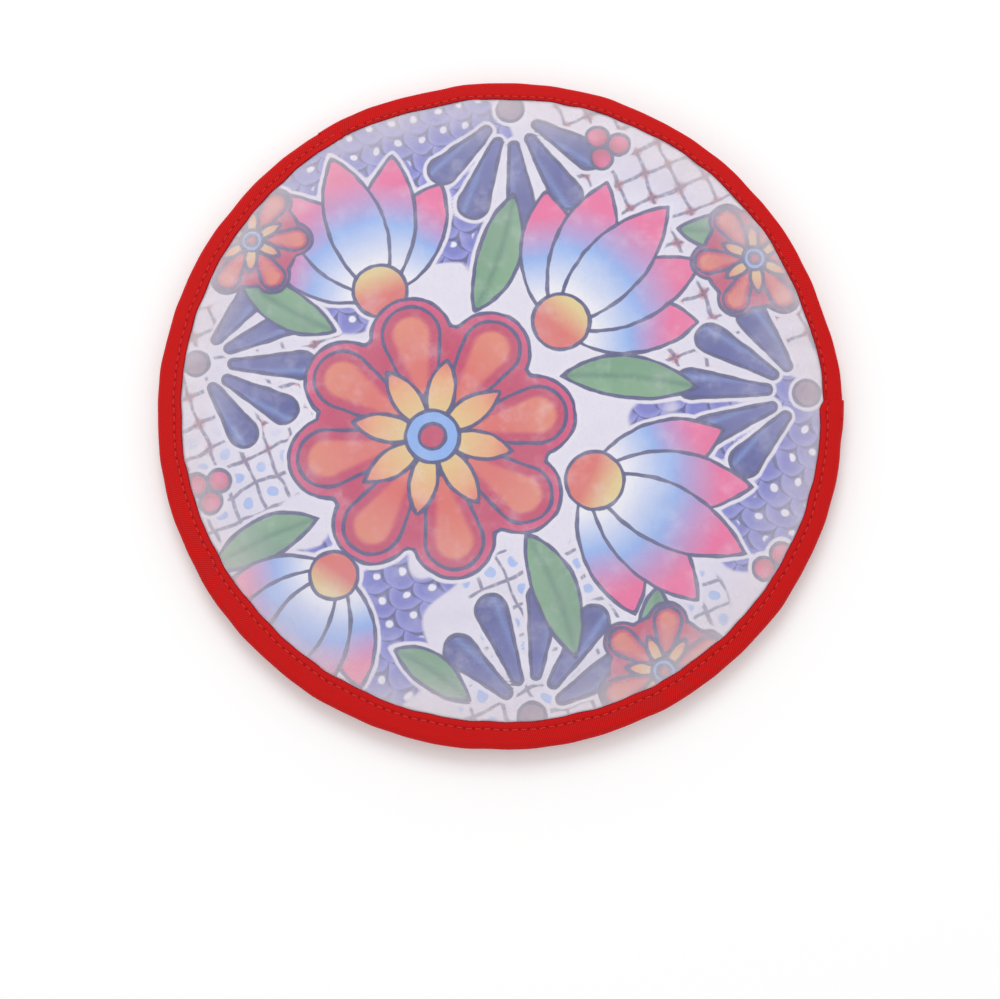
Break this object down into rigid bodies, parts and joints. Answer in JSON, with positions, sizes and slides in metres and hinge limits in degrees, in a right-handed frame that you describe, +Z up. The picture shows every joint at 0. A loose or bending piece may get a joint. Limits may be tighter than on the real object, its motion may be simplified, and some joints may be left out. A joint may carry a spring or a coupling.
{
  "type": "tortilla warmer pouch",
  "caption": "Flat round fabric tortilla warmer: padded printed panels under frosted film, bound with red tape and open at one side, where the front lip folds up.",
  "frame": {"origin": "middle of the pouch's underside, on the surface it lies on", "axes": "+Z up through the pouch's thickness; +Y towards the middle of the open mouth; +X to the right, seen from above with the mouth away from the viewer"},
  "size_m": [0.2666, 0.2651, 0.0146],
  "materials": {
    "film": "satin",
    "print": "matte",
    "batting": "matte",
    "lining": "matte",
    "tape": "satin",
    "thread": "satin"
  },
  "bodies": {
    "pouch": {"front_lining": "lining", "front_batting": "batting", "front_print_fabric": "print", "front_cover_film": "film", "back_lining": "lining", "back_batting": "batting", "back_print_fabric": "print", "back_cover_film": "film", "seam_binding": "tape", "back_lip_binding": "tape", "seam_stitching": "thread", "back_lip_stitching": "thread"},
    "front_lip": {"front_lip_lining": "lining", "front_lip_batting": "batting", "front_lip_print_fabric": "print", "front_lip_cover_film": "film", "front_lip_binding": "tape", "front_lip_stitching": "thread"}
  },
  "joints": [
    {"name": "front_lip_fold", "type": "hinge", "parent": "pouch", "child": "front_lip", "pos_m": [0, 0.06768, 0.0146], "axis": [1, 0, 0], "range_deg": [0, 75], "stiffness_Nm_per_rad": 0.02}
  ]
}
